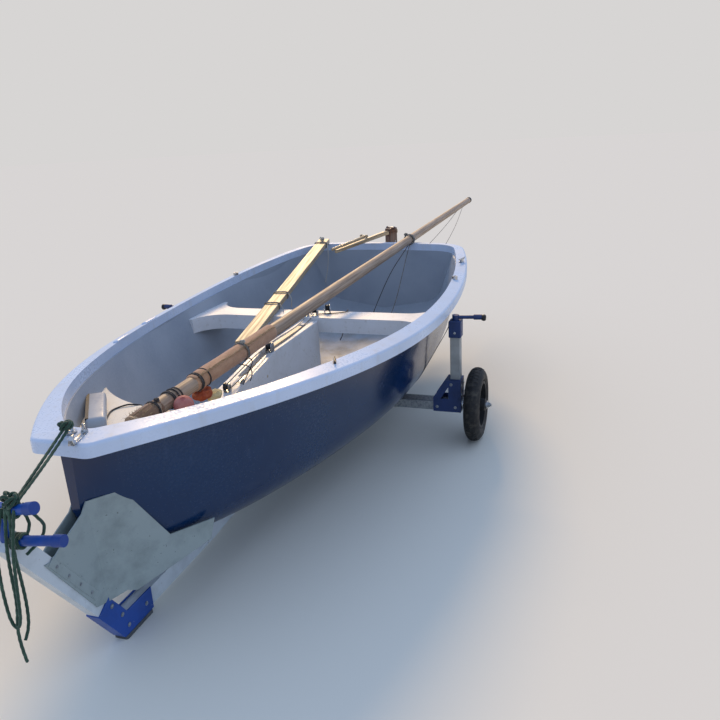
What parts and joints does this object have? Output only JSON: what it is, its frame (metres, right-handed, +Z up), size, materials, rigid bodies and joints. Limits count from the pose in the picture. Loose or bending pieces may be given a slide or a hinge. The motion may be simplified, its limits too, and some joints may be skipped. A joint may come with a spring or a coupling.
{
  "type": "sailing dinghy on a launching trolley",
  "caption": "Round-bilged open dinghy with its spars stowed along the cockpit, slung on a two-wheeled hand launching trolley.",
  "frame": {"origin": "on the floor, midway between the tow handle and the mast tip, on the centreline of the hull", "axes": "+X to the bow, +Y to port, +Z up"},
  "size_m": [5.1418, 1.848, 0.9366],
  "materials": {
    "navy_gelcoat": "polished dark blue gelcoat",
    "white_gelcoat": "white gelcoat, slightly weathered",
    "grey_gelcoat": "pale grey inner moulding",
    "cream_gelcoat": "cream white moulding",
    "varnished_wood": "varnished hardwood",
    "weathered_wood": "weathered greyed spruce",
    "pale_wood": "pale varnished wood",
    "tan_sailcloth": "tan sailcloth, rolled",
    "webbing": "woven grey strap",
    "green_rope": "braided dark green rope",
    "galvanised_steel": "galvanised steel",
    "steel_fittings": "stainless steel",
    "white_paint": "white powder coat, speckled with dirt",
    "grey_paint": "pale grey powder coat",
    "blue_paint": "blue powder coat",
    "navy_paint": "dark blue powder coat",
    "black_plastic": "black moulded plastic",
    "grey_rubber": "grey rubber",
    "tyre_rubber": "black tyre rubber"
  },
  "bodies": {
    "boat_and_trolley": {"axle_beam": "galvanised_steel", "boom": "pale_wood", "bow_eye": "steel_fittings", "bow_pad_port": "grey_rubber", "bow_pad_starboard": "grey_rubber", "bow_seat": "cream_gelcoat", "centre_thwart": "white_gelcoat", "centreboard": "pale_wood", "centreboard_case": "white_gelcoat", "cockpit_liner": "grey_gelcoat", "cradle_plate_port": "white_paint", "cradle_plate_starboard": "white_paint", "foot_knee": "blue_paint", "foot_pad": "grey_rubber", "front_tube": "white_paint", "furled_sail": "tan_sailcloth", "grip_cap_high_port": "black_plastic", "grip_cap_high_starboard": "black_plastic", "grip_cap_low_port": "black_plastic", "grip_cap_low_starboard": "black_plastic", "gudgeon_lower": "steel_fittings", "gudgeon_upper": "steel_fittings", "gunwale_rim": "white_gelcoat", "hull_shell": "navy_gelcoat", "hull_sling": "webbing", "keel_block": "grey_rubber", "lift_crank_port": "navy_paint", "lift_crank_starboard": "navy_paint", "lift_post_port": "grey_paint", "lift_post_starboard": "grey_paint", "mast": "weathered_wood", "mast_cap": "black_plastic", "painter_bight": "green_rope", "painter_line": "green_rope", "painter_tail": "green_rope", "post_cap_port": "navy_paint", "post_cap_starboard": "navy_paint", "rowlock_socket_port": "steel_fittings", "rowlock_socket_starboard": "steel_fittings", "spine_beam": "white_paint", "stub_axle_port": "steel_fittings", "stub_axle_starboard": "steel_fittings", "tow_handle": "blue_paint", "wheel_bracket_port": "blue_paint", "wheel_bracket_starboard": "blue_paint"},
    "wheel_port": {"tyre_port": "tyre_rubber", "wheel_rim_port": "black_plastic"},
    "wheel_starboard": {"tyre_starboard": "tyre_rubber", "wheel_rim_starboard": "black_plastic"},
    "rudder": {"rudder_stock": "varnished_wood", "tiller": "pale_wood", "tiller_extension": "pale_wood"},
    "blade": {"rudder_blade": "varnished_wood"}
  },
  "joints": [
    {"name": "wheel_port_spin", "type": "hinge", "parent": "boat_and_trolley", "child": "wheel_port", "pos_m": [0.376, 0.864, 0.188], "axis": [0, 1, 0], "continuous": true},
    {"name": "wheel_starboard_spin", "type": "hinge", "parent": "boat_and_trolley", "child": "wheel_starboard", "pos_m": [0.376, -0.864, 0.188], "axis": [0, 1, 0], "continuous": true},
    {"name": "rudder_turn", "type": "hinge", "parent": "boat_and_trolley", "child": "rudder", "pos_m": [-1.038, 0, 0.64], "axis": [0, 0, 1], "range_deg": [-14, 28]},
    {"name": "blade_lift", "type": "hinge", "parent": "rudder", "child": "blade", "pos_m": [-1.11087, 0.02783, 0.505], "axis": [0.3567, 0.9342, 0], "range_deg": [-90, 10]}
  ]
}
